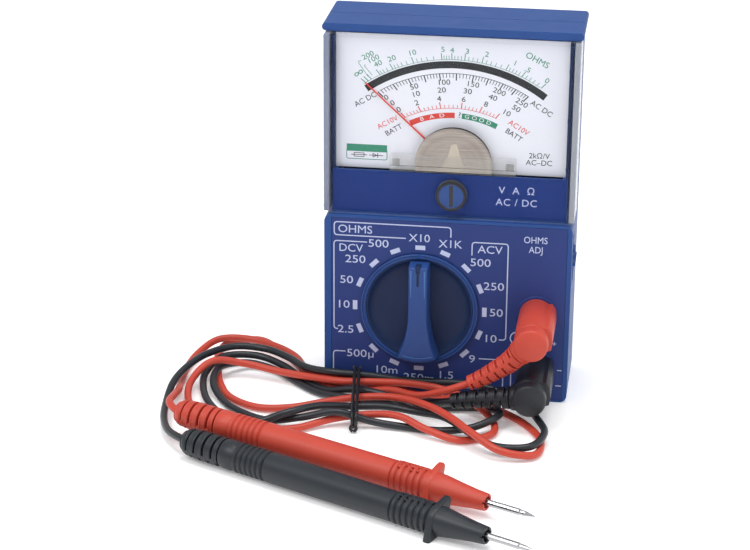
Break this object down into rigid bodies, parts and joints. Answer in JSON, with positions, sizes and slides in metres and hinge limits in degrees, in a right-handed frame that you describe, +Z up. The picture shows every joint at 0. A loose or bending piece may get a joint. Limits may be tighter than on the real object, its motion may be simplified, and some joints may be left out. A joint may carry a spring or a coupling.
{
  "type": "analog multimeter",
  "caption": "Pocket analogue multimeter with a clear-fronted moving-coil dial, rotary range switch, zero and ohms adjusters, and plugged-in test leads tied in a hank with two probes.",
  "frame": {"origin": "centre of the meter body at the table, under the middle of its depth", "axes": "+Z up along the case, the dial faces -Y, +X to the right seen from the front"},
  "size_m": [0.1305, 0.1438, 0.124],
  "materials": {
    "case_blue": "fine satin moulded blue plastic",
    "label_blue": "matt printed blue panel with pale lilac lettering",
    "knob_navy": "satin navy moulded plastic",
    "clear_window": "clear polished window moulding",
    "dial_paint": "pale grey painted sheet with printed scales",
    "pointer_red": "painted red",
    "brass": "bright brass",
    "steel": "bright nickelled steel",
    "iron": "grey machined iron",
    "copper": "enamelled copper winding",
    "rotor_white": "natural acetal",
    "board_laminate": "tan paper laminate",
    "black_moulding": "black moulded",
    "resistor_tan": "lacquered resistor body",
    "cell_sleeve": "printed cell sleeve",
    "red_vinyl": "soft satin red vinyl",
    "black_vinyl": "soft satin black vinyl",
    "red_lead_jacket": "smooth flexible red jacket",
    "black_lead_jacket": "smooth flexible black jacket",
    "tie_black": "plastic coated twist tie"
  },
  "bodies": {
    "meter": {"front_case": "case_blue", "rear_case": "case_blue", "legend_plate": "label_blue", "window_cover": "clear_window", "dial_plate": "dial_paint", "front_bridge": "brass", "rear_bridge": "brass", "jewel_screw_front": "brass", "jewel_screw_rear": "brass", "jack_socket_red": "brass", "jack_socket_black": "brass", "fuse_clip_lower": "brass", "fuse_clip_upper": "brass", "red_plug_pin": "brass", "black_plug_pin": "brass", "case_screw_lower": "steel", "case_screw_upper": "steel", "fuse": "steel", "battery_contact": "steel", "battery_spring": "steel", "red_probe_pin": "steel", "black_probe_pin": "steel", "magnet_core": "iron", "yoke_ring": "iron", "circuit_board": "board_laminate", "ohms_potentiometer": "black_moulding", "rectifier_diode": "black_moulding", "resistor_left": "resistor_tan", "resistor_middle": "resistor_tan", "resistor_right": "resistor_tan", "battery_cell": "cell_sleeve", "red_plug_body": "red_vinyl", "red_plug_strain_relief": "red_vinyl", "red_probe_boot": "red_vinyl", "red_probe_handle": "red_vinyl", "red_probe_nose": "red_vinyl", "red_lead": "red_lead_jacket", "black_plug_body": "black_vinyl", "black_plug_strain_relief": "black_vinyl", "black_probe_boot": "black_vinyl", "black_probe_handle": "black_vinyl", "black_probe_nose": "black_vinyl", "black_lead": "black_lead_jacket", "lead_tie": "tie_black"},
    "range_switch": {"range_knob": "knob_navy", "switch_rotor": "rotor_white", "wiper_contact": "brass", "detent_ball": "steel", "detent_spring": "steel"},
    "pointer": {"needle": "pointer_red", "moving_coil": "copper", "pivot_staff": "steel", "hairspring_front": "brass", "hairspring_rear": "brass"},
    "zero_screw": {"zero_adjust_screw": "case_blue"},
    "zero_arm": {"zero_lever": "brass"},
    "ohms_wheel": {"ohms_thumbwheel": "case_blue"}
  },
  "joints": [
    {"name": "range_switch_turn", "type": "hinge", "parent": "meter", "child": "range_switch", "pos_m": [-0.0087, -0.012, 0.0304], "axis": [0, 1, 0], "continuous": true},
    {"name": "pointer_swing", "type": "hinge", "parent": "meter", "child": "pointer", "pos_m": [0.0009, -0.007, 0.0786], "axis": [0, 1, 0], "range_deg": [-2, 99], "stiffness_Nm_per_rad": 0.0005},
    {"name": "zero_screw_turn", "type": "hinge", "parent": "meter", "child": "zero_screw", "pos_m": [0.0009, -0.012, 0.0696], "axis": [0, 1, 0], "range_deg": [-45, 45]},
    {"name": "zero_arm_turn", "type": "hinge", "parent": "meter", "child": "zero_arm", "pos_m": [0.0009, -0.0085, 0.0786], "axis": [0, 1, 0], "range_deg": [-6, 6]},
    {"name": "ohms_wheel_turn", "type": "hinge", "parent": "meter", "child": "ohms_wheel", "pos_m": [0.0302, -0.0042, 0.0484], "axis": [0, 1, 0], "range_deg": [-135, 135]}
  ],
  "couplings": [
    {"joint": "zero_arm_turn", "follows": "zero_screw_turn", "ratio": -0.125}
  ]
}
